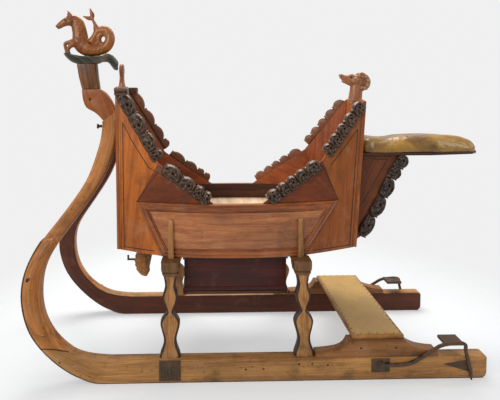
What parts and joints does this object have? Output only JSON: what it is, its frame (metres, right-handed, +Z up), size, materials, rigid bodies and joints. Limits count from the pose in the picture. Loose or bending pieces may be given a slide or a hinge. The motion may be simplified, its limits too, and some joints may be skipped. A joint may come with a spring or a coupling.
{
  "type": "ornamental racing sleigh",
  "caption": "Horse-drawn wooden racing sleigh with tall horned runners, carved bowed hull, rear straddle saddle, footboard and foot brakes.",
  "frame": {"origin": "on the floor, under the middle of the sleigh's box", "axes": "+Z up, the sleigh faces -X, its left side is -Y"},
  "size_m": [2.235, 0.758, 1.7231],
  "materials": {
    "oak": "old varnished light oak and pear wood, satin with worn edges",
    "dark_oak": "darker red-brown varnished wood, satin",
    "carved_oak": "carved wood, darkened and waxed",
    "iron": "forged iron, dark with brown rust in the pits",
    "saddle_leather": "glossy golden-olive leather over padding, nailed along its lower edge",
    "woven_mat": "coarse tan woven matting"
  },
  "bodies": {
    "sleigh": {"runner_left": "oak", "runner_right": "oak", "shoe_left": "iron", "shoe_right": "iron", "horn_left": "oak", "horn_right": "oak", "heel_block_left": "oak", "heel_block_right": "oak", "footboard": "oak", "foot_mat": "woven_mat", "post_front_left": "oak", "post_front_right": "oak", "post_rear_left": "oak", "post_rear_right": "oak", "bolster_front": "dark_oak", "bolster_rear": "dark_oak", "post_straps": "iron", "well_walls": "dark_oak", "well_floor": "dark_oak", "floor_front": "dark_oak", "floor_middle": "dark_oak", "floor_rear": "dark_oak", "front_board": "oak", "rear_board": "oak", "seat_board": "oak", "front_panel_left": "oak", "front_panel_right": "oak", "upper_front_left": "oak", "upper_front_right": "oak", "middle_panel_left": "dark_oak", "middle_panel_right": "dark_oak", "side_frame_left": "oak", "side_frame_right": "oak", "upper_rear_left": "oak", "upper_rear_right": "oak", "rear_panel_left": "oak", "rear_panel_right": "oak", "crest_front_left": "carved_oak", "crest_front_right": "carved_oak", "crest_rear_left": "carved_oak", "crest_rear_right": "carved_oak", "bracket_left": "dark_oak", "bracket_right": "dark_oak", "saddle_board": "dark_oak", "saddle_pad": "saddle_leather", "rear_head": "oak", "brake_pivot_left": "iron", "brake_pivot_right": "iron", "brake_guide_left": "iron", "brake_guide_right": "iron", "prow_block": "oak", "prow_post": "oak", "figure_base": "carved_oak", "sea_horse": "oak", "hitch_pin": "iron", "corbel": "carved_oak", "trace_hook": "iron"},
    "brake_left": {"brake_lever_left": "iron"},
    "brake_right": {"brake_lever_right": "iron"}
  },
  "joints": [
    {"name": "brake_left_pivot", "type": "hinge", "parent": "sleigh", "child": "brake_left", "pos_m": [0.51, -0.3685, 0.076], "axis": [0, 1, 0], "range_deg": [-30, 5]},
    {"name": "brake_right_pivot", "type": "hinge", "parent": "sleigh", "child": "brake_right", "pos_m": [0.51, 0.3685, 0.076], "axis": [0, 1, 0], "range_deg": [-30, 5]}
  ]
}
